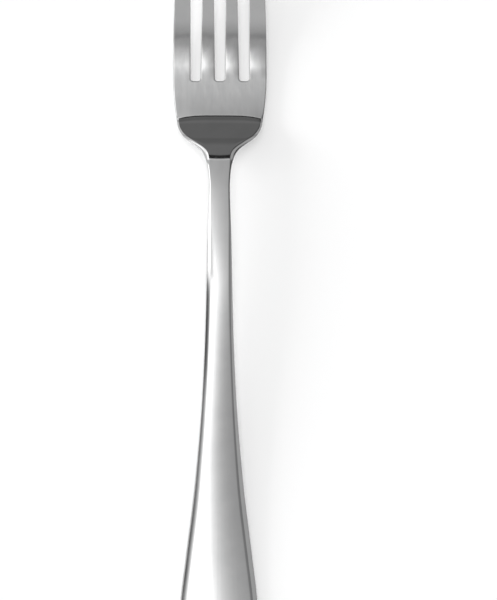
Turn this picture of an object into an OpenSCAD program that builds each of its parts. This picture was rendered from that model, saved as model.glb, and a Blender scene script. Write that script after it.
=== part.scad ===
// A dinner fork, forged and polished from one piece of stainless steel.
// Millimetres. +Y runs from the end of the handle to the tips of the tines, +X is
// to the right seen from above, and Z = 0 is the table that the fork lies on.
// Every part is a loft of upright cross-sections that follow one plan outline and
// one side profile, so neighbouring parts meet in exactly the same section.

/* [Overall] */
// Length from the end of the handle to the tips of the tines
overall_length = 208; // [185:1:230]
// Width across the head at the bottoms of the slots
head_width = 26; // [23.5:0.1:29]

/* [Tines] */
// Length of a tine, from the bottoms of the slots to the tips
tine_length = 42.3; // [34:0.1:50]
// Distance between the middles of neighbouring slots at their bottoms
slot_pitch = 6.75; // [6.2:0.05:7.2]
// Distance between the middles of neighbouring slots at the tips
slot_tip_pitch = 6.25; // [5.8:0.05:6.8]
// Width of a slot at its bottom
slot_root_width = 2.75; // [2.2:0.05:3.2]
// Width of a slot at the tips
slot_tip_width = 3.6; // [2.9:0.05:4.2]
// Radius in the corners at the bottom of a slot
slot_corner_radius = 0.8; // [0.4:0.05:1]
// Width across the head just before the tips
tips_width = 23.8; // [21.5:0.1:27]
// Length over which a tine is rounded off to its tip
tip_round_length = 4.5; // [2:0.1:8]
// Height of the undersides of the tips above the table
tip_height = 14; // [8:0.1:20]
// Thickness of a tine at its tip
tip_thickness = 1.2; // [0.8:0.05:1.8]
// Thickness of a tine at the bottom of its slot
root_thickness = 2.2; // [1.6:0.05:3]
// Height of the middle of a tine's top above its slot sides, near the slots' bottoms
tine_crown = 0.065; // [0:0.005:0.12]

/* [Head] */
// Distance from the bottoms of the slots back to the corners of the shoulders
palm_length = 13.1; // [9:0.1:17]
// Width across the corners of the shoulders
shoulder_width = 23.3; // [20:0.1:26]
// Distance from the corners of the shoulders back to the thinnest part of the neck
shoulder_length = 16; // [12:0.1:22]
// Distance from the bottoms of the slots back to where the head touches the table
head_rest_distance = 3.7; // [2:0.1:6]
// Thickness in the middle of the palm
palm_thickness = 2.1; // [1.6:0.05:2.8]
// How far the bend behind the palm is bowed at the corners of the shoulders
bend_bow = 1; // [0:0.05:1.6]

/* [Neck and handle] */
// Width of the neck where it is thinnest
neck_width = 5.86; // [4.6:0.02:7.5]
// Thickness of the neck
neck_thickness = 3.3; // [2.7:0.05:4.2]
// Height of the middle of the neck's top above its long edges
neck_crown = 0.05; // [0:0.01:0.5]
// Distance from the bottoms of the slots back to the highest part of the neck
crest_distance = 30.7; // [27:0.1:40]
// Height of the underside of the neck above the table
crest_height = 5.55; // [3:0.1:9]
// Width of the handle where it is widest
handle_width = 23.2; // [17:0.1:28]
// Thickness of the handle in its middle
handle_thickness = 2.8; // [2:0.05:3.6]
// Height of the middle of the handle's top above its long edges
handle_crown = 1; // [0:0.05:1.2]
// Length of the rounded end of the handle
handle_end_length = 11; // [6:0.1:16]
// Length of the end of the handle that lies flat on the table
handle_rest_length = 14; // [4:0.1:24]

/* [Edges] */
// Radius of the small round along every edge
edge_radius = 0.25; // [0.1:0.01:0.35]
// Width of the soft fall along the outer edges of the tines and the palm
head_soft_width = 0.5; // [0.4:0.05:1.2]
// Depth of the soft fall along the outer edges of the tines and the palm
head_soft_depth = 0.02; // [0:0.01:0.12]
// Width of the soft fall along the edges of the shoulders
shoulder_soft_width = 1.7; // [0.8:0.05:2.4]
// Depth of the soft fall along the edges of the shoulders
shoulder_soft_depth = 0.4; // [0.05:0.01:0.5]
// Width of the soft fall along the edges of the neck
neck_soft_width = 0.6; // [0.4:0.05:1.2]
// Depth of the soft fall along the edges of the neck
neck_soft_depth = 0.12; // [0:0.01:0.3]
// Width of the soft fall along the edges of the handle
handle_soft_width = 2.1; // [1:0.05:3]
// Depth of the soft fall along the edges of the handle
handle_soft_depth = 0.5; // [0.1:0.01:0.6]

/* [Hidden] */
steel = [0.78, 0.78, 0.79];
// The underside has this share of the soft fall of the top
under_share = 0.5;
// Share of the thickness at the long edges that rounded and soft edges may take
wall_share = 0.85;
// Small step used to measure how steeply a curve runs
probe = 0.002;

// Places along the fork
tips_y = overall_length / 2;
end_y = -overall_length / 2;
root_y = tips_y - tine_length;
round_y = tips_y - tip_round_length;
corner_y = root_y - palm_length;
thin_y = corner_y - shoulder_length;
widest_y = end_y + handle_end_length;
head_rest_y = root_y - head_rest_distance;
crest_y = root_y - crest_distance;
handle_rest_y = end_y + handle_rest_length;

// Half widths and the reach of the rounding
head_half = head_width / 2;
tips_half = tips_width / 2;
shoulder_half = shoulder_width / 2;
neck_half = neck_width / 2;
handle_half = handle_width / 2;
slot_root_half = slot_root_width / 2;
slot_tip_half = slot_tip_width / 2;
slot_flat_half = slot_root_half - slot_corner_radius;

// Radius of the arc that the undersides of the tines follow
tine_reach = tips_y - head_rest_y;
tine_arc = (tip_height * tip_height + tine_reach * tine_reach) / (2 * tip_height);

// Outline of the tines' outer sides: place from the slots to the tips, change of width
tine_side_shares = [[0.1, 0], [0.326, 0.095], [0.483, 0.305]];
// Outline of the palm: place from the slots to the shoulder corners, change of width
palm_side_shares = [[0.4, 0.21], [0.8, 0.71]];
// Outline of the shoulders: place from the corners to the neck, width that is left
shoulder_side_shares =
    [[0.1, 0.9], [0.19, 0.78], [0.28, 0.53], [0.41, 0.24], [0.55, 0.113], [0.73, 0.034]];
// Outline of the handle: place from the neck to the widest part, gain of width
handle_side_shares =
    [[0.11, 0.052], [0.3, 0.116], [0.47, 0.226], [0.65, 0.444], [0.82, 0.742], [0.91, 0.9]];
// Side profile from the head's rest up to the crest: place, height, steepness
drop_shares = [[0, 0, 0], [0.126, 0.019, 0.306], [0.222, 0.072, 0.735], [0.422, 0.472, 2.533],
    [0.685, 0.908, 0.902], [0.737, 0.944, 0.511], [0.835, 0.98, 0.221], [1, 1, 0]];

// Thickness: in the palm, place from the slots to the corners
palm_thickness_share = 0.76;
// Thickness behind the corners: place from the corners to the neck, gain from palm to neck
shoulder_thickness_shares = [0.45, 0.88];
// The handle has its own thickness from here on, from the neck to the widest part
handle_thickness_share = 0.75;
// Crown of the handle: place from the neck to the widest part, gain from neck to handle
handle_crown_shares = [[0.22, 0.16], [0.55, 0.47]];
// Crown of a tine: place from the slots to the tips, share of its own crown
tine_crown_shares = [[0, 0], [0.01, 0], [0.093, 1], [0.105, 1], [0.295, 0], [1, 0]];
// Soft edges of the palm: place from the slots to the corners, gain from head to shoulders
palm_soft_shares = [[0.7, 0.03], [1, 0.42]];
// Soft edges of the shoulders: place from the corners to the neck, what is left of their own
shoulder_soft_shares = [[0.22, 0.95], [0.42, 1], [0.66, 0.08]];
// Soft edges of the handle: place from the neck to the widest part, gain from neck to handle
handle_soft_shares = [[0.17, 0.36], [0.47, 0.62], [0.74, 1]];
// The bow of the bend: its middle and its reach ahead of the corners, in shares of the palm
bow_middle_share = 0.22;
bow_reach_share = 0.3;

// Where one part of the fork ends and the next begins
palm_back_share = 0.215;
shoulder_back_share = 0.7;
neck_back_share = 0.28;
palm_back_y = corner_y + (root_y - corner_y) * palm_back_share;
shoulder_back_y = corner_y + (thin_y - corner_y) * shoulder_back_share;
neck_back_y = thin_y + (widest_y - thin_y) * neck_back_share;

// How far round their rounded ends the last sections of the tines and handle lie
tip_angles = [15, 30, 45, 60, 73, 84];
tip_last_angle = max(tip_angles);
end_angles = [86, 78, 69, 60, 50, 39, 27, 14];
end_last_angle = max(end_angles);
// Share of the half width that the edges may take near the ends
fill_share = 0.8;

// Stations of the plan outline, from the end of the handle to the tips
handle_side = [for (s = handle_side_shares)
    [thin_y + (widest_y - thin_y) * s[0], neck_half + (handle_half - neck_half) * s[1]]];
shoulder_side = [for (s = shoulder_side_shares)
    [corner_y + (thin_y - corner_y) * s[0], neck_half + (shoulder_half - neck_half) * s[1]]];
palm_side = [for (s = palm_side_shares)
    [root_y + (corner_y - root_y) * s[0], head_half + (shoulder_half - head_half) * s[1]]];
tine_side = [for (s = tine_side_shares)
    [root_y + (tips_y - root_y) * s[0], head_half + (tips_half - head_half) * s[1]]];
width_stations = concat(
    [[end_y, handle_half], [widest_y, handle_half]],
    backwards(handle_side),
    [[thin_y, neck_half]],
    backwards(shoulder_side),
    [[corner_y, shoulder_half]],
    backwards(palm_side),
    [[root_y, head_half]],
    tine_side,
    [[tips_y, tips_half]]);

// Stations of the thickness in the middle and of the crown across the top
thickness_stations = [
    [end_y, handle_thickness],
    [thin_y + (widest_y - thin_y) * handle_thickness_share, handle_thickness],
    [thin_y, neck_thickness],
    [corner_y + (thin_y - corner_y) * shoulder_thickness_shares[0],
        palm_thickness + (neck_thickness - palm_thickness) * shoulder_thickness_shares[1]],
    [root_y + (corner_y - root_y) * palm_thickness_share, palm_thickness],
    [root_y, root_thickness],
    [tips_y, tip_thickness]];
handle_crowns = [for (s = handle_crown_shares)
    [thin_y + (widest_y - thin_y) * s[0], neck_crown + (handle_crown - neck_crown) * s[1]]];
crown_stations = concat(
    [[end_y, handle_crown], [widest_y, handle_crown]],
    backwards(handle_crowns),
    [[thin_y, neck_crown], [corner_y, 0], [tips_y, 0]]);
tine_crown_stations = [for (s = tine_crown_shares) [root_y + tine_length * s[0], tine_crown * s[1]]];

// Stations of a soft edge, from its size at the head, shoulders, neck and handle
function soft_stations(head, shoulder, neck, handle) = concat(
    [[end_y, handle]],
    [for (s = backwards(handle_soft_shares))
        [thin_y + (widest_y - thin_y) * s[0], neck + (handle - neck) * s[1]]],
    [[thin_y, neck]],
    [for (s = backwards(shoulder_soft_shares))
        [corner_y + (thin_y - corner_y) * s[0], neck + (shoulder - neck) * s[1]]],
    [for (s = backwards(palm_soft_shares))
        [root_y + (corner_y - root_y) * s[0], head + (shoulder - head) * s[1]]],
    [[root_y, head], [tips_y, head]]);
soft_width_stations =
    soft_stations(head_soft_width, shoulder_soft_width, neck_soft_width, handle_soft_width);
soft_depth_stations =
    soft_stations(head_soft_depth, shoulder_soft_depth, neck_soft_depth, handle_soft_depth);

function backwards(list) = [for (i = [len(list) - 1 : -1 : 0]) list[i]];

// Smooth curve through stations [place, value] that never overshoots a station
function last_before(s, y, i) = i >= len(s) - 2 || y < s[i + 1][0] ? i : last_before(s, y, i + 1);
function rate(s, i) = (s[i + 1][1] - s[i][1]) / (s[i + 1][0] - s[i][0]);
function lean(s, i) =
    i == 0 || i == len(s) - 1 ? 0 :
    rate(s, i - 1) * rate(s, i) <= 0 ? 0 :
    2 * rate(s, i - 1) * rate(s, i) / (rate(s, i - 1) + rate(s, i));
function hermite(a, b, lean_a, lean_b, h, t) =
    (1 + 2 * t) * pow(1 - t, 2) * a + t * t * (3 - 2 * t) * b
    + t * pow(1 - t, 2) * h * lean_a - t * t * (1 - t) * h * lean_b;
function on_span(s, i, y) =
    hermite(s[i][1], s[i + 1][1], lean(s, i), lean(s, i + 1),
        s[i + 1][0] - s[i][0], (y - s[i][0]) / (s[i + 1][0] - s[i][0]));
function curve(s, y) = on_span(s, last_before(s, y, 0), y);

// Half width of the plan outline: the handle ends in half an ellipse
function end_reach(y) = max(0, widest_y - y) / handle_end_length * sin(end_last_angle);
function side_half(y) = curve(width_stations, y);
function half_width(y) = side_half(y) * sqrt(1 - pow(end_reach(y), 2));
function outline_angle(y) = atan((half_width(y + probe) - half_width(y - probe)) / (2 * probe));

// Height of the underside: an arc under the tines, a drop behind the head and a
// long arch from the neck to the end of the handle, which lies flat
function drop(u) = drop_on(last_before(drop_shares, u, 0), u);
function drop_on(i, u) =
    hermite(drop_shares[i][1], drop_shares[i + 1][1], drop_shares[i][2], drop_shares[i + 1][2],
        drop_shares[i + 1][0] - drop_shares[i][0],
        (u - drop_shares[i][0]) / (drop_shares[i + 1][0] - drop_shares[i][0]));
function arch(t) = t * t * (3 - 2 * t);
function underside(y) =
    y >= head_rest_y ? tine_arc - sqrt(pow(tine_arc, 2) - pow(y - head_rest_y, 2)) :
    y >= crest_y ? crest_height * drop((head_rest_y - y) / (head_rest_y - crest_y)) :
    crest_height * arch(max(0, y - handle_rest_y) / (crest_y - handle_rest_y));
function profile_angle(y) = atan((underside(y + probe) - underside(y - probe)) / (2 * probe));

// Towards the corners of the palm the side profile is read a little further forward,
// so that the bend behind the palm is bowed
bow_middle_y = corner_y + palm_length * bow_middle_share;
function bow_here(y) = bend_bow * exp(-pow((y - bow_middle_y) / (palm_length * bow_reach_share), 2));
function bowed(y, x) = y + bow_here(y) * pow(x / side_half(y), 4);

// Upright thickness at a place across the section, whose profile is read at a given
// place along the fork. The crown falls to the long edges, and at the rounded end
// of the handle it falls to the end as well.
function crown_fall(y, x) = pow(x / side_half(y), 2) + pow(end_reach(y), 2);
function upright(y, x, at) =
    (curve(thickness_stations, at) - curve(crown_stations, y) * crown_fall(y, x)) / cos(profile_angle(at));

// How far the surface lies below its full height near an edge: a small circle, and
// along the outer edges a soft fall that grows with the square of the way into a band
function soft_width(y) = curve(soft_width_stations, y);
function soft_depth(y) = curve(soft_depth_stations, y);
function round_fall(d) = edge_radius - sqrt(pow(edge_radius, 2) - pow(max(0, edge_radius - d), 2));
function soft_fall(d, y) = soft_depth(y) * pow(max(0, 1 - d / soft_width(y)), 2);
function edge_wall(y) = curve(thickness_stations, y) - curve(crown_stations, y);
function fall_limit(y) =
    min(1, wall_share * edge_wall(y) / (2 * edge_radius + (1 + under_share) * soft_depth(y)));
// True distance to an edge that runs at an angle, from the distance across
function edge_distance(half, d, angle) = d * cos(angle) * (1 - (1 - cos(angle)) * d / (2 * half));

// The slots: middle, half width and the distance to one of them
function along_tines(y) = max(0, y - root_y - slot_corner_radius) / (tine_length - slot_corner_radius);
function slot_x(i, y) = (i - 1) * (slot_pitch + (slot_tip_pitch - slot_pitch) * along_tines(y));
function corner_x(y, d) =
    slot_flat_half + sqrt(max(0, pow(slot_corner_radius + d, 2) - pow(root_y + slot_corner_radius - y, 2)));
function slot_half(y) =
    y < root_y + slot_corner_radius ? corner_x(y, 0) :
    slot_root_half + (slot_tip_half - slot_root_half) * along_tines(y);
function slot_distance(i, x, y) =
    y >= root_y + slot_corner_radius ? abs(x - slot_x(i, y)) - slot_half(y) :
    norm([max(0, abs(x - slot_x(i, y)) - slot_flat_half), root_y + slot_corner_radius - y])
    - slot_corner_radius;

// Distances from an edge of the columns of points along it
edge_angles = [0 : 45 : 90];
edge_shares = [for (a = edge_angles) 1 - cos(a)];
soft_shares = [0.5, 1];
function outer_steps(y) = concat(
    [for (s = edge_shares) edge_radius * s],
    [for (s = soft_shares) edge_radius + (soft_width(y) - edge_radius) * s]);

// A tine between two edges: its sides and its rounded tip
function tine_left(k, y) = k == 0 ? -half_width(y) : slot_x(k - 1, y) + slot_half(y);
function tine_right(k, y) = k == 3 ? half_width(y) : slot_x(k, y) - slot_half(y);
function tip_reach(y) = max(0, y - round_y) / tip_round_length * sin(tip_last_angle);
function tip_rounding(y) = sqrt(1 - pow(tip_reach(y), 2));
function side_reach(k, y) = (tine_right(k, y) - tine_left(k, y)) / 2;
function tine_half(k, y) = side_reach(k, y) * tip_rounding(y);
function tine_middle(k, y) = (tine_right(k, y) + tine_left(k, y)) / 2;
function tip_lean(k, y) =
    tine_half(k, y) * tip_reach(y) * sin(tip_last_angle) / tip_round_length / pow(tip_rounding(y), 2);

// The columns and falls of one side of a tine, an outer edge or a slot's edge
function is_outer(k, side) = (k == 0 && side < 0) || (k == 3 && side > 0);
function side_angle(k, side, y) =
    atan(tip_lean(k, y) + (is_outer(k, side) ? abs(tan(outline_angle(y))) : 0));
function side_room(k, side, y) =
    min((is_outer(k, side) ? soft_width(y) : edge_radius) / cos(side_angle(k, side, y)),
        tine_half(k, y) * fill_share);
function insets(k, side, y) =
    is_outer(k, side) ? [for (d = outer_steps(y)) side_room(k, side, y) * d / soft_width(y)] :
    y >= root_y + slot_corner_radius ? [for (s = edge_shares) side_room(k, side, y) * s] :
    [for (s = edge_shares) corner_x(y, edge_radius * s) - slot_half(y)];
function side_distance(k, side, v, y) =
    let (d = edge_distance(tine_half(k, y), tine_half(k, y) - side * v, side_angle(k, side, y)))
    max(0, is_outer(k, side) ? d : min(d, slot_distance(side < 0 ? k - 1 : k, v + tine_middle(k, y), y)));
function side_soft(k, side, v, y) =
    is_outer(k, side) ? soft_fall(side_distance(k, side, v, y), y) * tip_rounding(y) :
    curve(tine_crown_stations, y) * pow(max(0, side * v / side_reach(k, y)), 2);

// The columns of a tine: both sides, with set shares of the way between them
across_shares = [0.25, 0.5, 0.75];
function tine_columns(k, y) =
    let (left = [for (d = insets(k, -1, y)) d - tine_half(k, y)],
        right = [for (d = backwards(insets(k, 1, y))) tine_half(k, y) - d],
        start = left[len(left) - 1])
    concat(left, [for (s = across_shares) start + (right[0] - start) * s], right);
function tine_section(k, y) = section(y, [for (v = tine_columns(k, y))
    [v + tine_middle(k, y),
        round_fall(min(side_distance(k, -1, v, y), side_distance(k, 1, v, y))),
        side_soft(k, -1, v, y) + side_soft(k, 1, v, y)]]);

// A section is a list of [place across, fall at a rounded edge, soft fall], turned
// into a closed ring of points
function section(y, list) =
    let (limit = fall_limit(y),
        pairs = [for (p = list)
            let (at = bowed(y, p[0]), base = underside(at))
            [[p[0], y, base + upright(y, p[0], at) - limit * (p[1] + p[2])],
                [p[0], y, base + limit * (p[1] + p[2] * under_share)]]])
    concat([for (p = pairs) p[0]], [for (p = backwards(pairs)) p[1]]);

// The body behind the slots: the bands of the outer edges, and set places inside
function band_room(y) = min(soft_width(y) / cos(outline_angle(y)), half_width(y) * fill_share);
function body_columns(y, inner_shares) =
    let (band = [for (d = outer_steps(y)) band_room(y) * d / soft_width(y)])
    concat(
        [for (d = band) d - half_width(y)],
        [for (s = inner_shares) (half_width(y) - band_room(y)) * s],
        [for (d = backwards(band)) half_width(y) - d]);
function outer_distance(x, y) =
    max(0, edge_distance(half_width(y), half_width(y) - abs(x), outline_angle(y)));
function nearest_slot(x, y) = min([for (i = [0 : 2]) slot_distance(i, x, y)]);
function body_section(y, inner_shares, slotted) = section(y, [for (x = body_columns(y, inner_shares))
    let (d = outer_distance(x, y), near = slotted ? min(d, nearest_slot(x, y)) : d)
    [x, round_fall(max(0, near)), soft_fall(d, y)]]);

// Places across the palm: the tines' own columns at the bottoms of the slots
root_columns = [for (k = [0 : 3]) each concat(
    [for (v = tine_columns(k, root_y)) v + tine_middle(k, root_y)],
    k < 3 ? [slot_x(k, root_y)] : [])];
outer_count = len(edge_shares) + len(soft_shares);
palm_inner_shares = [for (n = [outer_count : len(root_columns) - 1 - outer_count])
    root_columns[n] / (half_width(root_y) - band_room(root_y))];
function even_shares(count) = [for (i = [1 : count - 1]) 2 * i / count - 1];

// Rows along the fork, closer together where the shape turns quickly
function rows(a, b, count) = [for (i = [0 : count]) a + (b - a) * i / count];
function without_first(list) = [for (i = [1 : len(list) - 1]) list[i]];
function with_row(list, y) = concat([for (v = list) if (v < y) v], [y], [for (v = list) if (v > y) v]);
function tine_rows() = concat(
    [for (a = [0 : 22.5 : 90]) root_y + slot_corner_radius * (1 - cos(a))],
    without_first(rows(root_y + slot_corner_radius, round_y, 15)),
    [for (a = tip_angles) round_y + tip_round_length * sin(a) / sin(tip_last_angle)]);

// A closed loft through rings that all have the same number of points
module loft(rings) {
    n = len(rings[0]);
    c = n / 2;
    m = len(rings);
    // Faces are split the same way on both sides of the middle
    side_faces = [for (k = [0 : m - 2], j = [0 : n - 1])
        let (a = k * n + j, b = k * n + (j + 1) % n, d = a + n, e = b + n)
        each (j < (c - 1) / 2 || j > n - 1 - c / 2 ? [[a, d, e], [a, e, b]] : [[a, d, b], [b, d, e]])];
    cap_faces = [for (j = [0 : c - 2])
        let (a = j, b = j + 1, d = n - 2 - j, e = n - 1 - j, t = (m - 1) * n)
        each [[a, b, d], [a, d, e], [t + d, t + b, t + a], [t + e, t + d, t + a]]];
    polyhedron(points = [for (r = rings) each r], faces = concat(side_faces, cap_faces));
}

module tine(k) {
    color(steel) loft([for (y = tine_rows()) tine_section(k, y)]);
}

module tine_outer_left() {
    tine(0);
}

module tine_inner_left() {
    tine(1);
}

module tine_inner_right() {
    tine(2);
}

module tine_outer_right() {
    tine(3);
}

// The flat palm, with the rounded bottoms of the three slots in its front face
module palm() {
    front_rows = [for (s = without_first(backwards(edge_shares))) root_y - edge_radius * s];
    palm_rows = concat(rows(palm_back_y, root_y - edge_radius, 9), front_rows);
    color(steel) loft([for (y = with_row(palm_rows, head_rest_y))
        body_section(y, palm_inner_shares, true)]);
}

// The shoulders, where the head narrows and steps up to the neck
module shoulder() {
    color(steel) loft([for (y = rows(shoulder_back_y, palm_back_y, 24))
        body_section(y, even_shares(12), false)]);
}

module neck() {
    color(steel) loft([for (y = rows(neck_back_y, shoulder_back_y, 16))
        body_section(y, even_shares(8), false)]);
}

module handle() {
    end_rows = [for (a = end_angles) widest_y - handle_end_length * sin(a) / sin(end_last_angle)];
    handle_rows = concat(end_rows, rows(widest_y, neck_back_y, 30));
    color(steel) loft([for (y = with_row(handle_rows, handle_rest_y))
        body_section(y, even_shares(8), false)]);
}

tine_outer_left();
tine_inner_left();
tine_inner_right();
tine_outer_right();
palm();
shoulder();
neck();
handle();
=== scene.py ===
import bpy
import numpy as np
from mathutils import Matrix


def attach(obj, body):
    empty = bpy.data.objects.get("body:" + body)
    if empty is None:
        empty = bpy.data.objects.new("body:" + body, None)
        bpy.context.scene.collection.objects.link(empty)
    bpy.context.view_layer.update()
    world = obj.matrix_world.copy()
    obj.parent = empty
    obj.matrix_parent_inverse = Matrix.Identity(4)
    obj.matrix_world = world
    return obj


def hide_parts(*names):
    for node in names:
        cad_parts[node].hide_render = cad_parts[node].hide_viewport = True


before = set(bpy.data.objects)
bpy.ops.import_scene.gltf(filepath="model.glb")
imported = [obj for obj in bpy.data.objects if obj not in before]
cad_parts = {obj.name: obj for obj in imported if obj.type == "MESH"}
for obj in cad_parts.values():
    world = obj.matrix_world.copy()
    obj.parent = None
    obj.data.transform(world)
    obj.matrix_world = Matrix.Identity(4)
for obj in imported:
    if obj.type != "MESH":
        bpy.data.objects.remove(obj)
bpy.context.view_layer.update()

MILLIMETRE = 0.001

# Sizes of the fork
# They are in millimetres, the same values as the solid parts, so the surfaces land on them.
LENGTH = 208.0
HEAD_WIDTH = 26.0
TIPS_WIDTH = 23.8
TINE_LENGTH = 42.3
SLOT_PITCH = 6.75
SLOT_TIP_PITCH = 6.25
SLOT_ROOT_WIDTH = 2.75
SLOT_TIP_WIDTH = 3.6
SLOT_CORNER = 0.8
TIP_ROUND_LENGTH = 4.5
TIP_HEIGHT = 14.0
PALM_LENGTH = 13.1
SHOULDER_WIDTH = 23.3
SHOULDER_LENGTH = 16.0
HEAD_REST_DISTANCE = 3.7
NECK_WIDTH = 5.86
CREST_DISTANCE = 30.7
CREST_HEIGHT = 5.55
HANDLE_WIDTH = 23.2
HANDLE_END_LENGTH = 11.0
HANDLE_REST_LENGTH = 14.0

# Thicknesses, crowns, and the soft fall towards the outer edges
TIP_THICKNESS, ROOT_THICKNESS, PALM_THICKNESS = 1.2, 2.2, 2.1
NECK_THICKNESS, HANDLE_THICKNESS = 3.3, 2.8
NECK_CROWN, HANDLE_CROWN = 0.05, 1.0
TINE_CROWN = 0.065
EDGE_RADIUS = 0.25
# The soft edge at the head, the shoulders, the neck and the handle
SOFT_WIDTH = (0.5, 1.7, 0.6, 2.1)
SOFT_DEPTH = (0.02, 0.4, 0.12, 0.5)
# The underside's soft fall, as a share of the top's
UNDER_SHARE = 0.5
# The bow of the bend behind the palm: its size, and its place and reach in palm lengths
BEND_BOW, BOW_PLACE, BOW_REACH = 1.0, 0.22, 0.3
# The widest that an outer edge's columns may be, as a share of the half width there
BAND_SHARE = 0.8

# How far along the fork each line is eased
PROFILE_EASE, OUTLINE_EASE, THICKNESS_EASE, CROWN_EASE, SOFT_EASE = 0.35, 0.7, 1.0, 3.0, 0.8

# The rounded ends stop a little short of a quarter turn, and are closed there
TIP_TURN, END_TURN = 84.0, 86.0
TIP_LAST = np.sin(np.radians(TIP_TURN))
END_LAST = np.sin(np.radians(END_TURN))

# The backs of the palm, the shoulders and the neck, as shares of the way from the
# corner to the slots, from the corner to the thinnest place, and on to the widest
PALM_BACK, SHOULDER_BACK, NECK_BACK = 0.215, 0.7, 0.28

# Places along the fork
TIPS_Y = LENGTH / 2
END_Y = -LENGTH / 2
ROOT_Y = TIPS_Y - TINE_LENGTH
ROUND_Y = TIPS_Y - TIP_ROUND_LENGTH
CORNER_Y = ROOT_Y - PALM_LENGTH
THIN_Y = CORNER_Y - SHOULDER_LENGTH
WIDEST_Y = END_Y + HANDLE_END_LENGTH
HEAD_REST_Y = ROOT_Y - HEAD_REST_DISTANCE
CREST_Y = ROOT_Y - CREST_DISTANCE
HANDLE_REST_Y = END_Y + HANDLE_REST_LENGTH
PALM_BACK_Y = CORNER_Y + (ROOT_Y - CORNER_Y) * PALM_BACK
SHOULDER_BACK_Y = CORNER_Y + (THIN_Y - CORNER_Y) * SHOULDER_BACK
NECK_BACK_Y = THIN_Y + (WIDEST_Y - THIN_Y) * NECK_BACK
SLOT_FLAT_HALF = SLOT_ROOT_WIDTH / 2 - SLOT_CORNER


def between(start, stop, start_value, stop_value, shares):
    """Stations [place, value] from pairs of shares of the way from one to the other."""
    return [[start + (stop - start) * a, start_value + (stop_value - start_value) * b] for a, b in shares]


# Half widths, thicknesses and crowns along the fork: place and value
WIDTHS = sorted(
    [[END_Y, HANDLE_WIDTH / 2], [WIDEST_Y, HANDLE_WIDTH / 2], [THIN_Y, NECK_WIDTH / 2],
     [CORNER_Y, SHOULDER_WIDTH / 2], [ROOT_Y, HEAD_WIDTH / 2], [TIPS_Y, TIPS_WIDTH / 2]]
    + between(THIN_Y, WIDEST_Y, NECK_WIDTH / 2, HANDLE_WIDTH / 2,
              [(0.11, 0.052), (0.3, 0.116), (0.47, 0.226), (0.65, 0.444), (0.82, 0.742), (0.91, 0.9)])
    + between(CORNER_Y, THIN_Y, NECK_WIDTH / 2, SHOULDER_WIDTH / 2,
              [(0.1, 0.9), (0.19, 0.78), (0.28, 0.53), (0.41, 0.24), (0.55, 0.113), (0.73, 0.034)])
    + between(ROOT_Y, CORNER_Y, HEAD_WIDTH / 2, SHOULDER_WIDTH / 2, [(0.4, 0.21), (0.8, 0.71)])
    + between(ROOT_Y, TIPS_Y, HEAD_WIDTH / 2, TIPS_WIDTH / 2, [(0.1, 0.0), (0.326, 0.095), (0.483, 0.305)]))
THICKNESSES = sorted(
    [[END_Y, HANDLE_THICKNESS], [THIN_Y, NECK_THICKNESS], [ROOT_Y, ROOT_THICKNESS], [TIPS_Y, TIP_THICKNESS]]
    + between(THIN_Y, WIDEST_Y, NECK_THICKNESS, HANDLE_THICKNESS, [(0.75, 1.0)])
    + between(CORNER_Y, THIN_Y, PALM_THICKNESS, NECK_THICKNESS, [(0.45, 0.88)])
    + between(ROOT_Y, CORNER_Y, ROOT_THICKNESS, PALM_THICKNESS, [(0.76, 1.0)]))
CROWNS = sorted(
    [[END_Y, HANDLE_CROWN], [WIDEST_Y, HANDLE_CROWN], [THIN_Y, NECK_CROWN], [CORNER_Y, 0.0], [TIPS_Y, 0.0]]
    + between(THIN_Y, WIDEST_Y, NECK_CROWN, HANDLE_CROWN, [(0.22, 0.16), (0.55, 0.47)]))
TINE_CROWNS = between(ROOT_Y, TIPS_Y, 0.0, TINE_CROWN,
                      [(0, 0), (0.01, 0), (0.093, 1), (0.105, 1), (0.295, 0), (1, 0)])


def soft_stations(head, shoulder, neck, handle):
    """Stations of a soft edge, from its size at the head, shoulders, neck and handle."""
    return sorted(
        [[END_Y, handle], [THIN_Y, neck], [ROOT_Y, head], [TIPS_Y, head]]
        + between(THIN_Y, WIDEST_Y, neck, handle, [(0.17, 0.36), (0.47, 0.62), (0.74, 1.0)])
        + between(CORNER_Y, THIN_Y, neck, shoulder, [(0.22, 0.95), (0.42, 1.0), (0.66, 0.08)])
        + between(ROOT_Y, CORNER_Y, head, shoulder, [(0.7, 0.03), (1.0, 0.42)]))


# Side profile from the head's rest up to the crest: place, height and steepness
DROP = np.array([(0, 0, 0), (0.126, 0.019, 0.306), (0.222, 0.072, 0.735), (0.422, 0.472, 2.533),
                 (0.685, 0.908, 0.902), (0.737, 0.944, 0.511), (0.835, 0.98, 0.221), (1, 1, 0)])


# Lines and profiles
def hermite(a, b, lean_a, lean_b, span, t):
    """Cubic from a to b over a span, with a given lean at each end, t from 0 to 1."""
    return ((1 + 2 * t) * (1 - t) ** 2 * a + t * t * (3 - 2 * t) * b
            + t * (1 - t) ** 2 * span * lean_a - t * t * (1 - t) * span * lean_b)


def through(stations, y):
    """Smooth curve through stations: cubics whose leans are harmonic means of the
    neighbouring rates, or level where the rates change sign, so it never overshoots."""
    place, value = np.array(stations, float).T
    rate = np.diff(value) / np.diff(place)
    lean = np.zeros(len(place))
    with np.errstate(divide="ignore", invalid="ignore"):
        mean = 2 * rate[:-1] * rate[1:] / (rate[:-1] + rate[1:])
    lean[1:-1] = np.where(rate[:-1] * rate[1:] > 0, mean, 0)
    i = np.clip(np.searchsorted(place, y, side="right") - 1, 0, len(place) - 2)
    span = place[i + 1] - place[i]
    t = np.clip((y - place[i]) / span, 0, 1)
    return hermite(value[i], value[i + 1], lean[i], lean[i + 1], span, t)


# Places where a line is read, in reaches, and their shares in the mean
TAPS = np.linspace(-2.2, 2.2, 13)
TAP_WEIGHTS = np.exp(-TAPS ** 2 / 2) / np.exp(-TAPS ** 2 / 2).sum()


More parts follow.
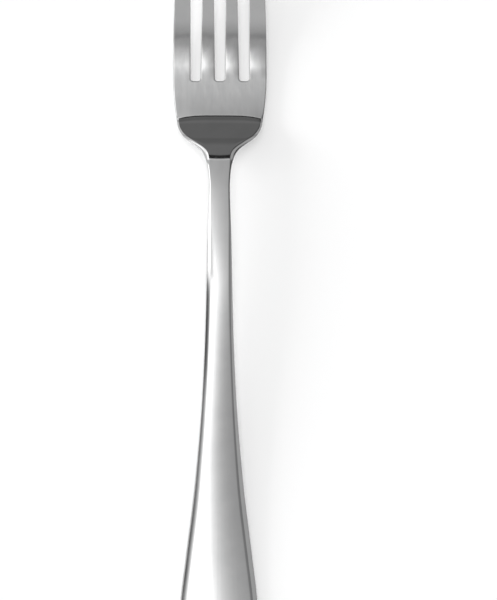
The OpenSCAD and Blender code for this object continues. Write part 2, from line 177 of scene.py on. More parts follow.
def eased(line, y, reach):
    """The line averaged over a bell-shaped reach along the fork, so that its
    curvature changes gently and reflections run over it without a break."""
    return sum(w * line(y + reach * tap) for tap, w in zip(TAPS, TAP_WEIGHTS))


def raw_underside(y):
    """Height of the underside: an arc under the tines, a drop behind the head, then
    a long arch from the neck to the end of the handle, which lies flat."""
    reach = TIPS_Y - HEAD_REST_Y
    arc = (TIP_HEIGHT ** 2 + reach ** 2) / (2 * TIP_HEIGHT)
    tines = arc - np.sqrt(arc ** 2 - np.clip(y - HEAD_REST_Y, 0, None) ** 2)
    u = np.clip((HEAD_REST_Y - y) / (HEAD_REST_Y - CREST_Y), 0, 1)
    i = np.clip(np.searchsorted(DROP[:, 0], u, side="right") - 1, 0, len(DROP) - 2)
    span = DROP[i + 1, 0] - DROP[i, 0]
    drop = hermite(DROP[i, 1], DROP[i + 1, 1], DROP[i, 2], DROP[i + 1, 2], span, (u - DROP[i, 0]) / span)
    t = np.clip((y - HANDLE_REST_Y) / (CREST_Y - HANDLE_REST_Y), 0, 1)
    arch = t * t * (3 - 2 * t)
    return np.where(y >= HEAD_REST_Y, tines, CREST_HEIGHT * np.where(y >= CREST_Y, drop, arch))


def underside(y):
    return eased(raw_underside, y, PROFILE_EASE)


def side_half(y):
    return eased(lambda v: through(WIDTHS, v), y, OUTLINE_EASE)


def thickness(y):
    return eased(lambda v: through(THICKNESSES, v), y, THICKNESS_EASE)


def crown(y):
    return eased(lambda v: through(CROWNS, v), y, CROWN_EASE)


def soft_width(y):
    return eased(lambda v: through(soft_stations(*SOFT_WIDTH), v), y, SOFT_EASE)


def soft_depth(y):
    return eased(lambda v: through(soft_stations(*SOFT_DEPTH), v), y, SOFT_EASE)


def lean_of(line, y, step=0.02):
    """Rise of a line per millimetre along the fork."""
    return (line(y + step) - line(y - step)) / (2 * step)


def end_reach(y):
    """How far into the rounded end of the handle, from 0 to just under 1."""
    return np.clip(WIDEST_Y - y, 0, None) / HANDLE_END_LENGTH * END_LAST


def half_width(y):
    """Half width of the plan outline, closed by half an ellipse at the handle's end."""
    return side_half(y) * np.sqrt(np.clip(1 - end_reach(y) ** 2, 0, None))


def outline_lean(y):
    """Rise of the half width per millimetre along the fork."""
    return lean_of(half_width, y, 0.005)


def round_fall(d):
    """How far the surface lies below its full height at a distance from an edge that
    is rounded with a small circle."""
    q = 1 - np.clip(d / EDGE_RADIUS, 0, 1)
    return EDGE_RADIUS * (1 - np.sqrt(1 - q * q))


def soft_edge(d, y):
    """The soft fall of the outer edges: it grows with the square of the way into a
    band along the edge."""
    return soft_depth(y) * (1 - np.clip(d / soft_width(y), 0, 1)) ** 2


def true_distance(half, across, angle):
    """Distance to an edge that runs at an angle, from the distance straight across."""
    return across * np.cos(angle) * (1 - (1 - np.cos(angle)) * across / (2 * half))


# The slots
def along_tines(y):
    """Share of the way from the rounded bottoms of the slots to the tips."""
    return np.clip(y - ROOT_Y - SLOT_CORNER, 0, None) / (TINE_LENGTH - SLOT_CORNER)


def slot_x(i, y):
    return (i - 1) * (SLOT_PITCH + (SLOT_TIP_PITCH - SLOT_PITCH) * along_tines(y))


def corner_x(y, d):
    """Half width of a line that runs round a slot's rounded bottom at a distance d."""
    lift = np.clip(ROOT_Y + SLOT_CORNER - y, 0, None)
    return SLOT_FLAT_HALF + np.sqrt(np.clip((SLOT_CORNER + d) ** 2 - lift ** 2, 0, None))


def slot_half(y):
    """Half width of a slot: rounded corners at its bottom, then a slow taper."""
    taper = SLOT_ROOT_WIDTH / 2 + (SLOT_TIP_WIDTH - SLOT_ROOT_WIDTH) / 2 * along_tines(y)
    return np.where(y < ROOT_Y + SLOT_CORNER, corner_x(y, 0.0), taper)


def slot_distance(i, x, y):
    """Distance from a place on the fork to the edge of a slot."""
    off = np.abs(x - slot_x(i, y))
    lift = np.clip(ROOT_Y + SLOT_CORNER - y, 0, None)
    round_bottom = np.hypot(np.clip(off - SLOT_FLAT_HALF, 0, None), lift) - SLOT_CORNER
    return np.where(y >= ROOT_Y + SLOT_CORNER, off - slot_half(y), round_bottom)


# The surfaces
def turns(last, count):
    """Angles from 0 to the last one, in radians."""
    return np.radians(np.linspace(0, last, count))


ROUND_STEPS = EDGE_RADIUS * (1 - np.cos(turns(90, 6)))
SOFT_STEPS = np.linspace(0, 1, 6)[1:]
FLAT_STEPS = 8


def bowed(y, x):
    """Where the side profile is read: towards the corners of the palm it is read a
    little further forward, so the bend behind the palm is slightly bowed."""
    share = np.clip(np.abs(x) / side_half(y), 0, 1)
    here = np.exp(-((y - CORNER_Y - PALM_LENGTH * BOW_PLACE) / (PALM_LENGTH * BOW_REACH)) ** 2)
    return y + BEND_BOW * here * share ** 4


def closed_rings(y, x, fall, soft):
    """Rings of points round upright sections. The bottom is the underside's line
    plus the fall at the edges, and the top is a thickness, less the crown and less
    the fall, above it. The crown grows with the square of the way to the long edges."""
    yy = np.broadcast_to(y[:, None], x.shape)
    arched = (x / side_half(y)[:, None]) ** 2 + end_reach(y)[:, None] ** 2
    at = bowed(yy, x)
    tall = (thickness(at) - crown(y)[:, None] * arched) * np.sqrt(1 + lean_of(underside, at) ** 2)
    base = underside(at)
    top = np.stack([x, yy, base + tall - fall - soft], axis=-1)
    bottom = np.stack([x, yy, base + fall + soft * UNDER_SHARE], axis=-1)
    return np.concatenate([top, bottom[:, ::-1]], axis=1)


def outer_columns(y):
    """Distances from an outer edge of its columns: the small circle, then the soft band."""
    width = soft_width(y)[:, None]
    small = np.broadcast_to(ROUND_STEPS[None, :], (len(y), len(ROUND_STEPS)))
    return np.concatenate([small, EDGE_RADIUS + (width - EDGE_RADIUS) * SOFT_STEPS[None, :]], axis=1)


def body_rings(y, inner_shares):
    """Rings behind the slots: the falls take true distances from both long edges
    and from the slots' bottoms, and the columns between keep set shares."""
    half = half_width(y)[:, None]
    angle = np.arctan(outline_lean(y))[:, None]
    band = outer_columns(y) / np.cos(angle)
    band = band * np.minimum(1, half * BAND_SHARE / band[:, -1:])
    room = band[:, -1:]
    x = np.concatenate([band - half, (half - room) * inner_shares[None, :], half - band[:, ::-1]], axis=1)
    outside = true_distance(half, np.clip(half - np.abs(x), 0, None), angle)
    slots = np.min([slot_distance(i, x, y[:, None]) for i in range(3)], axis=0)
    return closed_rings(y, x, round_fall(np.minimum(outside, slots)), soft_edge(outside, y[:, None]))


def tine_sides(k, y):
    left = -half_width(y) if k == 0 else slot_x(k - 1, y) + slot_half(y)
    right = half_width(y) if k == 3 else slot_x(k, y) - slot_half(y)
    return left, right


def tine_rings(k, y):
    """Rings of one tine: two long edges, closed by half an ellipse at the tip, with
    the same rounding by true distance. Near the slots' bottoms the tines are slightly
    crowned, but for the outer left one, which is flat across in the photograph."""
    left, right = tine_sides(k, y)
    reach = np.clip(y - ROUND_Y, 0, None) / TIP_ROUND_LENGTH * TIP_LAST
    shut = np.sqrt(1 - reach ** 2)
    middle = (left + right) / 2
    half = (right - left) / 2 * shut
    at_tip = half * reach * TIP_LAST / TIP_ROUND_LENGTH / shut ** 2
    sides = []
    for side in (-1, 1):
        outer = (k == 0 and side < 0) or (k == 3 and side > 0)
        angle = np.arctan(at_tip + np.abs(outline_lean(y)) * outer)[:, None]
        straight = (outer_columns(y) if outer else ROUND_STEPS[None, :]) / np.cos(angle)
        straight = straight * np.minimum(1, half[:, None] * BAND_SHARE / straight[:, -1:])
        bend = corner_x(y[:, None], ROUND_STEPS[None, :]) - slot_half(y)[:, None]
        in_bend = (y < ROOT_Y + SLOT_CORNER)[:, None]
        sides.append((outer, angle, straight if outer else np.where(in_bend, bend, straight)))
    start = sides[0][2] - half[:, None]
    stop = half[:, None] - sides[1][2][:, ::-1]
    t = np.linspace(0, 1, FLAT_STEPS + 1)[1:-1][None, :]
    flat = start[:, -1:] * (1 - t) + stop[:, :1] * t
    v = np.concatenate([start, flat, stop], axis=1)
    x = v + middle[:, None]
    near, soft = np.full_like(v, np.inf), np.zeros_like(v)
    arched = through(TINE_CROWNS, y)[:, None] * (k > 0)
    for side, (outer, angle, _) in zip((-1, 1), sides):
        d = true_distance(half[:, None], np.clip(half[:, None] - side * v, 0, None), angle)
        share = np.clip(side * v / ((right - left) / 2)[:, None], 0, None)
        soft = soft + arched * share ** 2
        if outer:
            soft = soft + soft_edge(d, y[:, None]) * shut[:, None]
        else:
            d = np.minimum(d, slot_distance(k - 1 if side < 0 else k, x, y[:, None]))
        near = np.minimum(near, np.clip(d, 0, None))
    return closed_rings(y, x, round_fall(near), soft)


def palm_shares():
    """Columns of the palm: the tines' own columns where they meet the palm, and the
    middle of each slot, as shares of the width between the outer bands."""
    y = np.array([ROOT_Y])
    columns = []
    for k in range(4):
        ring = tine_rings(k, y)[0]
        columns.append(ring[:len(ring) // 2, 0])
    columns = np.concatenate([columns[0], slot_x(0, y), columns[1], slot_x(1, y),
                              columns[2], slot_x(2, y), columns[3]])
    count = len(ROUND_STEPS) + len(SOFT_STEPS)
    angle = np.arctan(outline_lean(y))[0]
    return columns[count:-count] / (half_width(y)[0] - outer_columns(y)[0, -1] / np.cos(angle))


def even_rows(start, stop, step):
    return np.linspace(start, stop, int(np.ceil(abs(stop - start) / step)) + 1)


def joined(*parts):
    """Rows from several stretches, in order, without doubles."""
    y = np.sort(np.concatenate(parts))
    return y[np.concatenate([[True], np.diff(y) > 1e-4])]


# Distances between rows, and the numbers of rows in the rounded stretches
TINE_STEP, PALM_STEP, SHOULDER_STEP, NECK_STEP, HANDLE_STEP = 0.4, 0.25, 0.2, 0.5, 0.8
CORNER_ROWS, EDGE_ROWS, TIP_ROWS, END_ROWS = 13, 9, 22, 40

TINE_ROWS = joined(
    ROOT_Y + SLOT_CORNER * (1 - np.cos(turns(90, CORNER_ROWS))),
    even_rows(ROOT_Y + SLOT_CORNER, ROUND_Y, TINE_STEP),
    ROUND_Y + TIP_ROUND_LENGTH * np.sin(turns(TIP_TURN, TIP_ROWS)) / TIP_LAST)
PALM_ROWS = joined(
    even_rows(PALM_BACK_Y, ROOT_Y - EDGE_RADIUS, PALM_STEP),
    ROOT_Y - EDGE_RADIUS * (1 - np.cos(turns(90, EDGE_ROWS))))
SHOULDER_ROWS = even_rows(SHOULDER_BACK_Y, PALM_BACK_Y, SHOULDER_STEP)
NECK_ROWS = even_rows(NECK_BACK_Y, SHOULDER_BACK_Y, NECK_STEP)
HANDLE_ROWS = joined(
    even_rows(WIDEST_Y, NECK_BACK_Y, HANDLE_STEP),
    WIDEST_Y - HANDLE_END_LENGTH * np.sin(turns(END_TURN, END_ROWS)) / END_LAST)


def ring_faces(rows, count):
    """Quads between neighbouring rings, pointing outwards."""
    k, j = np.meshgrid(np.arange(rows - 1), np.arange(count), indexing="ij")
    a = k * count + j
    b = k * count + (j + 1) % count
    return np.stack([a, b, b + count, a + count], axis=-1).reshape(-1, 4)


def cap_faces(rows, count):
    """Quads that close the first and the last ring, from the top row to the bottom."""
    j = np.arange(count // 2 - 1)
    first = np.stack([j, count - 1 - j, count - 2 - j, j + 1], axis=-1)
    return first, first[:, ::-1] + (rows - 1) * count


def surface(rings, shows_first=None, shows_last=None):
    """One closed surface from rings. shows_first and shows_last pick the cap quads
    that are seen, which then take part in the smooth normals."""
    rows, count = rings.shape[:2]
    sides = ring_faces(rows, count)
    first, last = cap_faces(rows, count)
    seen = [sides]
    for cap, shows in ((first, shows_first), (last, shows_last)):
        if shows is not None:
            seen.append(cap[shows(rings.reshape(-1, 3)[cap])])
    return {"points": rings.reshape(-1, 3), "faces": np.concatenate([sides, first, last]),
            "seen": np.concatenate(seen)}


def every_quad(corners):
    return np.ones(len(corners), bool)


def slot_bottom_quads(corners):
    """Cap quads that are the upright wall at the bottom of a slot."""
    x = corners[:, :, 0]
    near = [np.all(np.abs(x - slot_x(i, ROOT_Y)) < SLOT_FLAT_HALF + 1e-3, axis=1) for i in range(3)]
    return np.any(near, axis=0)


def smooth_normals(surfaces):
    """Normals of all surfaces together: points that coincide share the area-weighted
    mean of the quads round them, so neighbouring parts shade as one forging."""
    points = np.concatenate([s["points"] for s in surfaces])
    starts = np.cumsum([0] + [len(s["points"]) for s in surfaces])
    quads = np.concatenate([s["seen"] + n for s, n in zip(surfaces, starts)])
    _, shared = np.unique(np.round(points, 4), axis=0, return_inverse=True)
    shared = shared.reshape(-1)
    a, b, c, d = (points[quads[:, n]] for n in range(4))
    flat = np.cross(c - a, d - b)
    total = np.zeros((shared.max() + 1, 3))
    for axis in range(3):
        for n in range(4):
            total[:, axis] += np.bincount(shared[quads[:, n]], flat[:, axis], minlength=len(total))
    normals = total[shared]
    normals /= np.maximum(np.linalg.norm(normals, axis=1, keepdims=True), 1e-12)
    return [normals[m:n] for m, n in zip(starts[:-1], starts[1:])]


# Shader maths
WHITE = (1.0, 1.0, 1.0, 1.0)


class Value:
    """A socket that takes part in Python expressions. Each operator adds the Math
    node that works it out."""

    def __init__(self, nodes, socket):
        self.nodes = nodes
        self.socket = socket

    def math(self, operation, *others):
        sockets = {0: self, **dict(enumerate(others, 1))}
        return self.nodes.add("ShaderNodeMath", {"operation": operation}, sockets)

    def __add__(self, other):
        return self.math("ADD", other)

    def __radd__(self, other):
        return self.math("ADD", other)

    def __sub__(self, other):
        return self.math("SUBTRACT", other)

    def __rsub__(self, other):
        return self.math("MULTIPLY", -1.0).math("ADD", other)

    def __mul__(self, other):
        return self.math("MULTIPLY", other)

    def smooth(self, low, high):
        """0 below low, 1 above high, and a smooth step between."""
        return self.nodes.add(
            "ShaderNodeMapRange", {"interpolation_type": "SMOOTHSTEP"},
            {"Value": self, "From Min": low, "From Max": high, "To Min": 0.0, "To Max": 1.0}, "Result")

    def below(self, low, high):
        """1 below low, 0 above high, and a smooth step between."""
        return 1.0 - self.smooth(low, high)

    def within(self, start, stop):
        """1 between two soft edges, each a pair of values, and 0 outside them."""
        return self.smooth(*start) * self.below(*stop)

    def output(self, name):
        """Another output of the same node."""
        return Value(self.nodes, self.socket.node.outputs[name])

    def axes(self):
        """X, Y and Z of a vector."""
        split = self.nodes.add("ShaderNodeSeparateXYZ", {}, {0: self})
        return [split.output(n) for n in range(3)]


class Nodes:
    """A node tree, filled by its methods."""

    def __init__(self, owner):
        owner.use_nodes = True
        self.tree = owner.node_tree
        self.tree.nodes.clear()

    def add(self, kind, settings=None, sockets=None, output=0):
        """A node of a kind: its settings first, then values or links of its sockets.
        Returns one of its outputs, if it has any."""
        node = self.tree.nodes.new(kind)
        for name, value in (settings or {}).items():
            setattr(node, name, value)
        for name, value in (sockets or {}).items():
            if isinstance(value, Value):
                self.tree.links.new(value.socket, node.inputs[name])
            else:
                node.inputs[name].default_value = value
        return Value(self, node.outputs[output]) if len(node.outputs) else None

    def own_place(self):
        """The place on the surface in the object's own frame, in metres."""
        return self.add("ShaderNodeTexCoord", output="Object")

    def stretched(self, place, scale):
        return self.add("ShaderNodeMapping", {}, {"Vector": place, "Scale": scale})

    def noise(self, place, scale, detail, roughness):
        return self.add("ShaderNodeTexNoise", {}, {
            "Vector": place, "Scale": scale, "Detail": detail, "Roughness": roughness}, "Fac")

    def glow(self, strength):
        """White light of a strength."""
        return self.add("ShaderNodeEmission", {}, {"Color": WHITE, "Strength": strength})

    def mixed(self, share, first, second):
        """The first look, with a share of it replaced by the second."""
        return self.add("ShaderNodeMixShader", {}, {0: share, 1: first, 2: second})

    def show(self, look):
        self.add("ShaderNodeOutputMaterial", {}, {"Surface": look})


# Polished steel
# The noises' scales are in cells per metre: across, along and up, or the same all round
LINES = (9000.0, 160.0, 3000.0)
STREAKS = (2400.0, 30.0, 800.0)
HAND_WAVES = (450.0, 200.0, 200.0)
CLOUDS = 140.0
DARKER_STEEL = (0.76, 0.762, 0.765, 1.0)
LIGHTER_STEEL = (0.8, 0.8, 0.802, 1.0)
STEEL_ROUGHNESS, STREAK_ROUGHNESS, CLOUD_ROUGHNESS, LINE_ROUGHNESS = 0.07, 0.06, 0.05, 0.03
# The bump: its strength, its depth in metres, and what each noise adds to its height
BUMP_STRENGTH, BUMP_DEPTH = 0.12, 0.00002
STREAK_BUMP, LINE_BUMP, WAVE_BUMP = 0.6, 0.4, 8.0
# Where the hand-polished head begins, in metres along the fork
HEAD_FROM = (0.032, 0.042)


def polished_steel():
    """Mirror-polished stainless steel. The polish runs along the fork: fine lines
    that are long in Y and narrow in X, a little cloudiness, and a very low bump. The
    head is polished by hand, so its surface is slightly wavy."""
    material = bpy.data.materials.new("polished_steel")
    nodes = Nodes(material)
    place = nodes.own_place()
    lines = nodes.noise(nodes.stretched(place, LINES), 1.0, 3.0, 0.6)
    streak = nodes.noise(nodes.stretched(place, STREAKS), 1.0, 2.0, 0.5)
    wave = nodes.noise(nodes.stretched(place, HAND_WAVES), 1.0, 1.0, 0.4)
    cloud = nodes.noise(place, CLOUDS, 3.0, 0.55)
    roughness = STEEL_ROUGHNESS + (streak - 0.5) * STREAK_ROUGHNESS
    roughness = roughness + (cloud - 0.5) * CLOUD_ROUGHNESS + (lines - 0.5) * LINE_ROUGHNESS
    tint = nodes.add("ShaderNodeMix", {"data_type": "RGBA"}, {
        "Factor": cloud.smooth(0.3, 0.7), 6: DARKER_STEEL, 7: LIGHTER_STEEL}, 2)
    head = place.axes()[1].smooth(*HEAD_FROM)
    height = streak * STREAK_BUMP + lines * LINE_BUMP + wave * head * WAVE_BUMP
    bump = nodes.add("ShaderNodeBump", {}, {
        "Strength": BUMP_STRENGTH, "Distance": BUMP_DEPTH, "Height": height}, "Normal")
    nodes.show(nodes.add("ShaderNodeBsdfPrincipled", {}, {
        "Base Color": tint, "Metallic": 1.0, "Roughness": roughness, "Normal": bump}))
    return material


def link(thing):
    """Put an object into the scene."""
    bpy.context.scene.collection.objects.link(thing)
    return thing


def make_piece(name, shape, normals, material):
    """A mesh object at the origin, from points in millimetres, shaded smooth."""
    mesh = bpy.data.meshes.new(name)
    points = shape["points"] * MILLIMETRE
    faces = shape["faces"]
    mesh.vertices.add(len(points))
    mesh.vertices.foreach_set("co", points.astype(np.float32).ravel())
    mesh.loops.add(faces.size)
    mesh.loops.foreach_set("vertex_index", faces.astype(np.int32).ravel())
    mesh.polygons.add(len(faces))
    mesh.polygons.foreach_set("loop_start", np.arange(0, faces.size, 4, dtype=np.int32))
    mesh.update(calc_edges=True)
    mesh.polygons.foreach_set("use_smooth", np.ones(len(faces), bool))
    mesh.normals_split_custom_set_from_vertices(normals.tolist())
    mesh.materials.append(material)
    return link(bpy.data.objects.new(name, mesh))


inner_shares = palm_shares()
SHAPES = {
    "tine_outer_left": surface(tine_rings(0, TINE_ROWS), None, every_quad),
    "tine_inner_left": surface(tine_rings(1, TINE_ROWS), None, every_quad),
    "tine_inner_right": surface(tine_rings(2, TINE_ROWS), None, every_quad),
    "tine_outer_right": surface(tine_rings(3, TINE_ROWS), None, every_quad),
    "palm": surface(body_rings(PALM_ROWS, inner_shares), None, slot_bottom_quads),
    "shoulder": surface(body_rings(SHOULDER_ROWS, inner_shares)),
    "neck": surface(body_rings(NECK_ROWS, inner_shares)),
    "handle": surface(body_rings(HANDLE_ROWS, inner_shares), every_quad, None),
}
steel = polished_steel()
for (node, shape), normals in zip(SHAPES.items(), smooth_normals(list(SHAPES.values()))):
    piece = make_piece("polished_" + node, shape, normals, steel)
    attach(piece, "root")
    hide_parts(node)


# The table
# Its reach and how far it lies under the fork are in metres
TABLE_REACH, TABLE_DROP = 1.5, 0.00002
TABLE_PAINT = (0.92, 0.92, 0.92, 1.0)
TABLE_WHITE_SHARE = 0.35


def white_table():
    """A broad white table top under the fork, plain and matt. The camera and the
    metal see a share of it as pure white, which keeps the fork's shade on it pale."""
    reach, z = TABLE_REACH, -TABLE_DROP
    corners = [(-reach, -reach, z), (reach, -reach, z), (reach, reach, z), (-reach, reach, z)]
    mesh = bpy.data.meshes.new("table")
    mesh.from_pydata(corners, [], [(0, 1, 2, 3)])
    material = bpy.data.materials.new("white_table")
    nodes = Nodes(material)
    paint = nodes.add("ShaderNodeBsdfPrincipled", {}, {
        "Base Color": TABLE_PAINT, "Roughness": 0.9, "Specular IOR Level": 0.1})
    ray = nodes.add("ShaderNodeLightPath")
    seen = ray.output("Is Camera Ray") + ray.output("Is Glossy Ray")
    nodes.show(nodes.mixed(seen * TABLE_WHITE_SHARE, paint, nodes.glow(1.0)))
    mesh.materials.append(material)
    link(bpy.data.objects.new("table", mesh))


white_table()


# Light and backdrop
DEGREES = float(np.degrees(1.0))
# Where the room beyond the tines begins, in degrees from straight above
FAR_ROOM = (21.0, 25.0)
# What the camera and matt surfaces see of the room
CAMERA_LEVEL, MATT_LEVEL = 1.0, 0.27


class Direction:
    """Where a ray goes. The angles are in degrees from straight above, to the right
    (X) and to the tines (Y), and turned is a compass angle from the tines. up is 1
    straight above. ahead is 1 in the room beyond the tines, and behind is 1 elsewhere."""

    def __init__(self, nodes):
        x, y, self.up = nodes.add("ShaderNodeTexCoord", output="Generated").axes()
        self.to_right = x.math("ARCTAN2", self.up) * DEGREES
        self.to_tines = y.math("ARCTAN2", self.up) * DEGREES
        self.turned = x.math("ARCTAN2", y) * DEGREES
        self.ahead = self.to_tines.smooth(*FAR_ROOM)
        self.behind = 1.0 - self.ahead


def soft_light(at):
    """A broad light to the left, which fades to the right. Its edge slants away on
    both sides of a line a little to the handle's side, more steeply on that side. It
    is held down towards the tines, and beyond them it is seen only on the left."""
    line, slant, slant_rate = -5.7, 14.5, -0.15
    near_slant, near_bend, bend_from = 1.5, 1.1, 4.5
    edge, fade_rate, edge_level, most, held_by = 0.8, -0.13, 0.78, 1.39, 1.14
    beside_least, beside_more, band_level = 0.1, 0.85, 0.08
    low_level, high_level = 0.31, 1.7
    held_ahead, held_right, held_far = (2.5, 8.0), (-19.0, -13.0), (12.0, 16.0)
    band_edge, beside_edge, beside_up = (19.0, 22.0), (-9.0, -4.0), (0.79, 0.85)
    beyond = (at.to_tines - line).math("MAXIMUM", 0.0)
    short = (line - at.to_tines).math("MAXIMUM", 0.0)
    far_short = (short - bend_from).math("MAXIMUM", 0.0)
    off_line = (1.0 - (beyond * slant_rate).math("EXPONENT")) * slant + short * near_slant
    off_line = off_line + far_short * far_short * near_bend
    fade = ((at.to_right + off_line - edge) * fade_rate).math("MINIMUM", 1.0).math("EXPONENT")
    held = at.to_tines.smooth(*held_ahead) * at.to_right.smooth(*held_right)
    held = held.math("MAXIMUM", at.to_tines.smooth(*held_far))
    fade = (fade * edge_level).math("MINIMUM", most - held * held_by)
    band = at.ahead * at.turned.smooth(*band_edge) * band_level
    steep = at.up.smooth(*beside_up) * beside_more + beside_least
    beside = at.to_right.below(*beside_edge) * steep
    return (fade * at.behind + beside * at.ahead + band + low_level).math("MINIMUM", high_level)


def with_shades(at, lit):
    """The lit room with its darker and lighter places: low on the left, a dip and a
    rise on the right, low on the right, behind the tips, and a dark streak ahead."""
    low_left_level, low_right_loss, low_right_more = 0.6, 0.15, 0.15
    dip_loss, rise_gain, rise_loss = 0.12, 0.08, 0.14
    tips_gain, far_tips_gain, line_loss, streak_loss = 0.115, 0.05, 0.12, 0.17
    low_left_edge, low_right_edge, low_right_ahead = (-47.0, -40.0), (55.0, 75.0), (-2.0, 6.0)
    dip_start, dip_stop, rise_edge, rise_ahead = (18.0, 23.0), (34.0, 38.0), (34.0, 40.0), (0.0, 6.0)
    tips_edge, far_tips_edge = (-13.5, -11.5), (-20.0, -16.5)
    line_start, line_stop = (-16.5, -15.2), (-14.6, -14.1)
    streak_start, streak_stop, wide_edge = (16.0, 20.0), (86.0, 91.0), (50.0, 58.0)
    near_up, wide_up, top_up = (0.885, 0.9), (0.7, 0.8), (0.945, 0.965)
    low_left = at.to_right.below(*low_left_edge) * at.behind
    dip = at.to_right.within(dip_start, dip_stop) * dip_loss
    rise = at.to_right.smooth(*rise_edge) * (rise_gain - at.to_tines.smooth(*rise_ahead) * rise_loss)
    low_right = at.to_tines.smooth(*low_right_ahead) * low_right_more + low_right_loss
    low_right = at.to_right.smooth(*low_right_edge) * low_right
    tips = at.to_tines.below(*tips_edge) * tips_gain + at.to_tines.below(*far_tips_edge) * far_tips_gain
    line = at.to_tines.within(line_start, line_stop) * line_loss
    room = lit * (1.0 - low_left) + low_left * low_left_level
    room = room + (rise - dip) * at.behind - low_right + tips - line
    wide = at.turned.smooth(*wide_edge)
    streak = at.up.smooth(*near_up) * (1.0 - wide) + at.up.smooth(*wide_up) * wide
    streak = streak * at.up.below(*top_up) * at.turned.within(streak_start, streak_stop)
    return (room - streak * streak_loss).math("MAXIMUM", 0.0)


def with_panel(at, room):
    """The room with the dark panel beyond the tines. Its frame is nearly black, and
    a lighter rim runs along the frame's upper edge."""
    rim_gain, frame_level, inside_gain, far_loss = 0.2, 0.02, 0.137, 0.022
    rim_edge, rim_right, far_edge = (21.8, 22.6), (14.0, 18.0), (57.0, 63.0)
    frame_edge, frame_left, frame_right = (24.8, 25.2), (-21.0, -20.0), (18.5, 19.5)
    inside_edge, inside_left, inside_right = (29.4, 30.4), (-18.5, -17.0), (12.5, 13.5)
    rim = at.to_tines.smooth(*rim_edge) * at.turned.below(*rim_right) * rim_gain
    framed = at.to_tines.smooth(*frame_edge) * at.turned.within(frame_left, frame_right)
    inside = at.to_tines.smooth(*inside_edge) * at.turned.within(inside_left, inside_right)
    panel = frame_level + inside * (inside_gain - at.to_tines.smooth(*far_edge) * far_loss)
    return (room + rim) * (1.0 - framed) + panel * framed


def studio_world():
    """The room as the polished metal sees it. The camera sees it as white, and matt
    surfaces get a low even light from it."""
    world = bpy.data.worlds.new("studio")
    bpy.context.scene.world = world
    nodes = Nodes(world)
    at = Direction(nodes)
    room = with_panel(at, with_shades(at, soft_light(at)))
    ray = nodes.add("ShaderNodeLightPath")
    camera = ray.output("Is Camera Ray")
    matt = ray.output("Is Diffuse Ray")
    level = room * (1.0 - camera) * (1.0 - matt) + camera * CAMERA_LEVEL + matt * MATT_LEVEL
    shade = nodes.add("ShaderNodeBackground", {}, {"Color": WHITE, "Strength": level})
    nodes.add("ShaderNodeOutputWorld", {}, {"Surface": shade})


def facing_angles(direction):
    """Turns about X and Z that point an object's -Z along a direction."""
    x, y, z = direction / np.linalg.norm(direction)
    return (float(np.arccos(-z)), 0.0, float(np.arctan2(y, x) - np.pi / 2))


def soft_sun(name, direction, spread, strength):
    """A far lamp that shines along a direction, as wide as a spread in degrees. The
    polished metal doesn't show it."""
    light = bpy.data.lights.new(name, "SUN")
    light.angle = np.radians(spread)
    light.energy = strength
    lamp = bpy.data.objects.new(name, light)
    lamp.rotation_euler = facing_angles(np.array(direction))
    lamp.visible_glossy = False
    link(lamp)


def studio_card(name, corners):
    """A card with four corners, in metres, that only polished metal sees. Returns
    its empty node tree."""
    mesh = bpy.data.meshes.new(name)
    mesh.from_pydata(corners, [], [(0, 1, 2, 3)])
    material = bpy.data.materials.new(name)
    mesh.materials.append(material)
    card = bpy.data.objects.new(name, mesh)
    card.visible_camera = False
    card.visible_diffuse = False
    card.visible_shadow = False
    link(card)
    return Nodes(material)


def neck_card():
    """A narrow white card that hangs upright to the left of the neck."""
    x, front, back, low, top, strength = -0.15, 0.0125, 0.036, 0.06, 0.15, 1.4
    corners = [(x, front, low), (x, back, low), (x, back, top), (x, front, top)]
    nodes = studio_card("neck_card", corners)
    nodes.show(nodes.glow(strength))


def dark_bar():
    """A bar that hangs to the left of the handle, dark far out and white towards its
    slanted end and its front. The steel shows it as the dark line along the handle's
    left edge."""
    height, front, back, far = 0.5, -0.035, -0.16, -0.8
    end, slant = -0.05, 1.667
    dark, white, back_rate, front_rate = 0.09, 1.39, -5.2, -8.0
    front_part, front_fade = (-0.122, -0.1), (-0.055, front)
    outline = [(far, front), (end, front), (end + (back - front) * slant, back), (far, back)]
    nodes = studio_card("dark_bar", [(x, y, height) for x, y in outline])
    x, y, _ = nodes.own_place().axes()
    past = (end - x + (y - front) * slant).math("MAXIMUM", 0.0)
    pale = (past * (y.smooth(*front_part) * front_rate + back_rate)).math("EXPONENT")
    pale = 1.0 - (1.0 - pale) * y.below(*front_fade)
    nodes.show(nodes.mixed(pale, nodes.glow(dark), nodes.glow(white)))


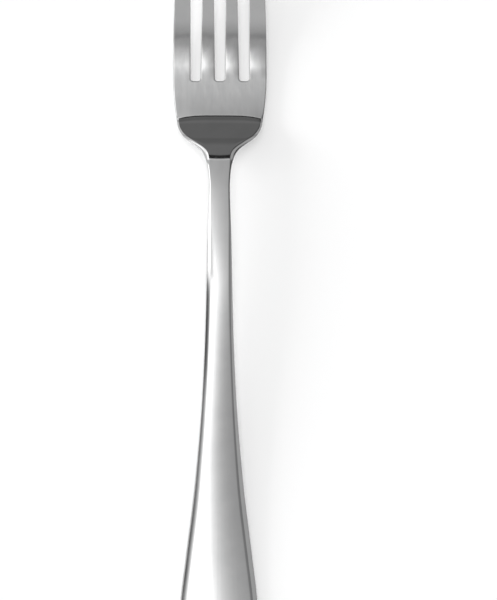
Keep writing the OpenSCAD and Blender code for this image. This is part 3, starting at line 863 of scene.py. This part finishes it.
def thin_card():
    """A narrow grey card beside the bar, for the thin upper end of the dark line."""
    height, strength = 0.25, 0.8
    outline = [(-0.0525, -0.016), (-0.026, -0.016), (-0.025, 0.014), (-0.035, 0.014)]
    nodes = studio_card("thin_card", [(x, y, height) for x, y in outline])
    nodes.show(nodes.glow(strength))


def grey_net():
    """A grey net with soft edges, which hangs low over the head and takes a little
    off the light that the tines reflect."""
    height, front, back, half, share = 0.02, 0.057, 0.0735, 0.03, 0.25
    front_fade, back_fade = (front, front + 0.0075), (back - 0.0055, back)
    corners = [(-half, front, height), (half, front, height), (half, back, height), (-half, back, height)]
    nodes = studio_card("grey_net", corners)
    _, y, _ = nodes.own_place().axes()
    weave = y.within(front_fade, back_fade) * share
    nodes.show(nodes.mixed(weave, nodes.add("ShaderNodeBsdfTransparent"), nodes.glow(0.0)))


studio_world()
neck_card()
dark_bar()
thin_card()
grey_net()
soft_sun("overhead_lamp", (0.02, -0.15, -1.0), 34.0, 1.5)
soft_sun("side_lamp", (1.0, -0.25, -0.62), 75.0, 1.1)
soft_sun("low_lamp", (1.0, -0.25, -0.3), 24.0, 2.4)


# The camera
# The photograph looks straight down, on a frame of 497 by 600 pixels.
MM_PER_PIXEL = 0.2766
FRAME_HEIGHT = 600
SENSOR_HEIGHT = 24.0
# The height at which the scale holds, the camera's distance from it and where the
# camera stands, in metres, and its turn in degrees
SCALE_HEIGHT, VIEW_DISTANCE = 0.004, 0.9
CAMERA_X, CAMERA_Y, CAMERA_TURN = 0.00804, 0.001, 0.105
camera_data = bpy.data.cameras.new("camera")
camera_data.sensor_fit = "VERTICAL"
camera_data.sensor_height = SENSOR_HEIGHT
camera_data.lens = SENSOR_HEIGHT * VIEW_DISTANCE / (FRAME_HEIGHT * MM_PER_PIXEL * MILLIMETRE)
camera = link(bpy.data.objects.new("camera", camera_data))
camera.location = (CAMERA_X, CAMERA_Y, VIEW_DISTANCE + SCALE_HEIGHT)
camera.rotation_euler = (0.0, 0.0, np.radians(CAMERA_TURN))
bpy.context.scene.camera = camera
bpy.context.scene.view_settings.view_transform = "Standard"
